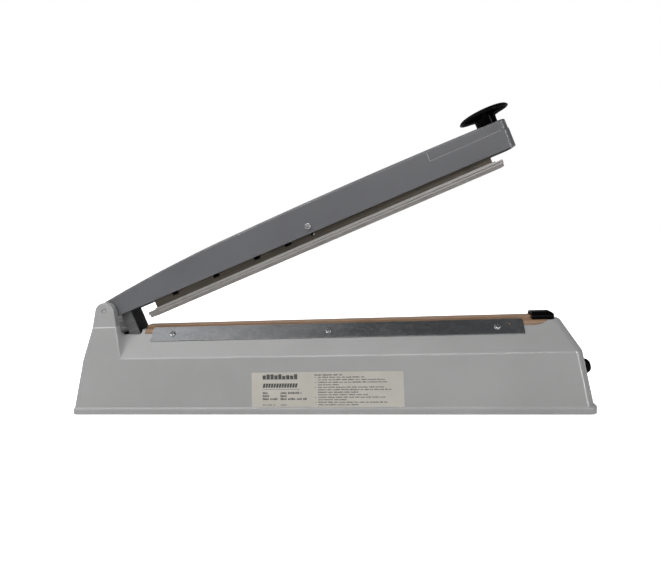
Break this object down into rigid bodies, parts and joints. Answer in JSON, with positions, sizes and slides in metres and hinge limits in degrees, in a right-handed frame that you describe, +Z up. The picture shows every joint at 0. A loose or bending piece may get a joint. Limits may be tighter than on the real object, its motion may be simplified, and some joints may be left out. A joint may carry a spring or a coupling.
{
  "type": "impulse heat sealer",
  "caption": "Hand-operated impulse heat sealer: long grey base with a clamped release cloth over its element, and a hinged dark arm with a press bar and round handle.",
  "frame": {"origin": "middle of the base's footprint, on the surface it stands on, at the underside of the rubber feet", "axes": "+X along the machine from the hinge to the handle end, +Y to the back, away from the operator, +Z up"},
  "size_m": [0.5625, 0.086, 0.3072],
  "materials": {
    "base_plastic": "satin",
    "arm_paint": "satin",
    "gloss_black": "gloss",
    "matt_black": "matt",
    "zinc_steel": "satin",
    "strip_steel": "satin",
    "channel_steel": "dull",
    "leg_steel": "satin",
    "screw_steel": "polished",
    "aluminium": "extruded",
    "core_steel": "matt",
    "foot_rubber": "matt",
    "silicone": "matt",
    "glass_cloth": "woven",
    "ptfe_cloth": "coated woven glass",
    "element_ribbon": "drawn",
    "label_paper": "matt",
    "coil_tape": "satin",
    "circuit_board": "satin",
    "component_black": "matt",
    "nylon": "satin",
    "lamp_red": "gloss",
    "brass": "machined"
  },
  "bodies": {
    "base": {"base_housing": "base_plastic", "hinge_housing": "base_plastic", "bottom_plate": "zinc_steel", "bottom_screws": "screw_steel", "rubber_feet": "foot_rubber", "hinge_pin": "screw_steel", "element_bar": "aluminium", "element_insulation": "glass_cloth", "heating_element": "element_ribbon", "ptfe_sheet": "ptfe_cloth", "front_clamp_strip": "strip_steel", "rear_clamp_strip": "strip_steel", "clamp_screws": "screw_steel", "end_cap": "gloss_black", "rating_label": "label_paper", "transformer_core": "core_steel", "transformer_coil": "coil_tape", "transformer_strap": "zinc_steel", "plate_screws": "screw_steel", "timer_board": "circuit_board", "board_components": "component_black", "board_posts": "nylon", "timer_control": "component_black", "control_nut": "screw_steel", "indicator_lamp": "gloss_black", "lamp_lens": "lamp_red", "cord_gland": "matt_black", "terminal_left": "brass", "terminal_right": "brass", "terminal_spacer": "nylon", "terminal_screws": "screw_steel", "microswitch": "component_black", "switch_bracket": "zinc_steel", "spring_anchor": "zinc_steel", "anchor_pin": "screw_steel", "return_spring": "screw_steel"},
    "arm": {"arm_cover": "arm_paint", "handle_base": "arm_paint", "press_handle": "gloss_black", "handle_screw": "screw_steel", "arm_bracket": "zinc_steel", "hinge_bushes": "brass", "arm_leg": "leg_steel", "leg_pin": "screw_steel", "pivot_screw": "screw_steel", "pivot_nut": "screw_steel", "pivot_sleeves": "nylon"},
    "press_bar": {"press_channel": "channel_steel", "press_profile": "aluminium", "silicone_strip": "silicone", "profile_screws": "screw_steel"},
    "timer_dial": {"timer_knob": "gloss_black", "control_shaft": "screw_steel"},
    "lever": {"switch_lever": "zinc_steel"}
  },
  "joints": [
    {"name": "arm_swing", "type": "hinge", "parent": "base", "child": "arm", "pos_m": [-0.238, 0, 0.1128], "axis": [0, 1, 0], "range_deg": [0, 18.73], "stiffness_Nm_per_rad": 2, "springref_deg": -57.3, "deforming": ["return_spring"]},
    {"name": "press_bar_level", "type": "hinge", "parent": "arm", "child": "press_bar", "pos_m": [-0.00444, 0, 0.19547], "axis": [0, 1, 0], "range_deg": [0, 1.6]},
    {"name": "timer_turn", "type": "hinge", "parent": "base", "child": "timer_dial", "pos_m": [0.26853, 0, 0.0365], "axis": [0.9901, 0, 0.1404], "range_deg": [-280, 0]},
    {"name": "switch_lever_press", "type": "hinge", "parent": "base", "child": "lever", "pos_m": [-0.2315, 0, 0.0685], "axis": [0, 1, 0], "range_deg": [0, 3], "stiffness_Nm_per_rad": 0.002, "springref_deg": -17.19}
  ],
  "couplings": [
    {"joint": "press_bar_level", "follows": "arm_swing", "ratio": 0.083942}
  ]
}
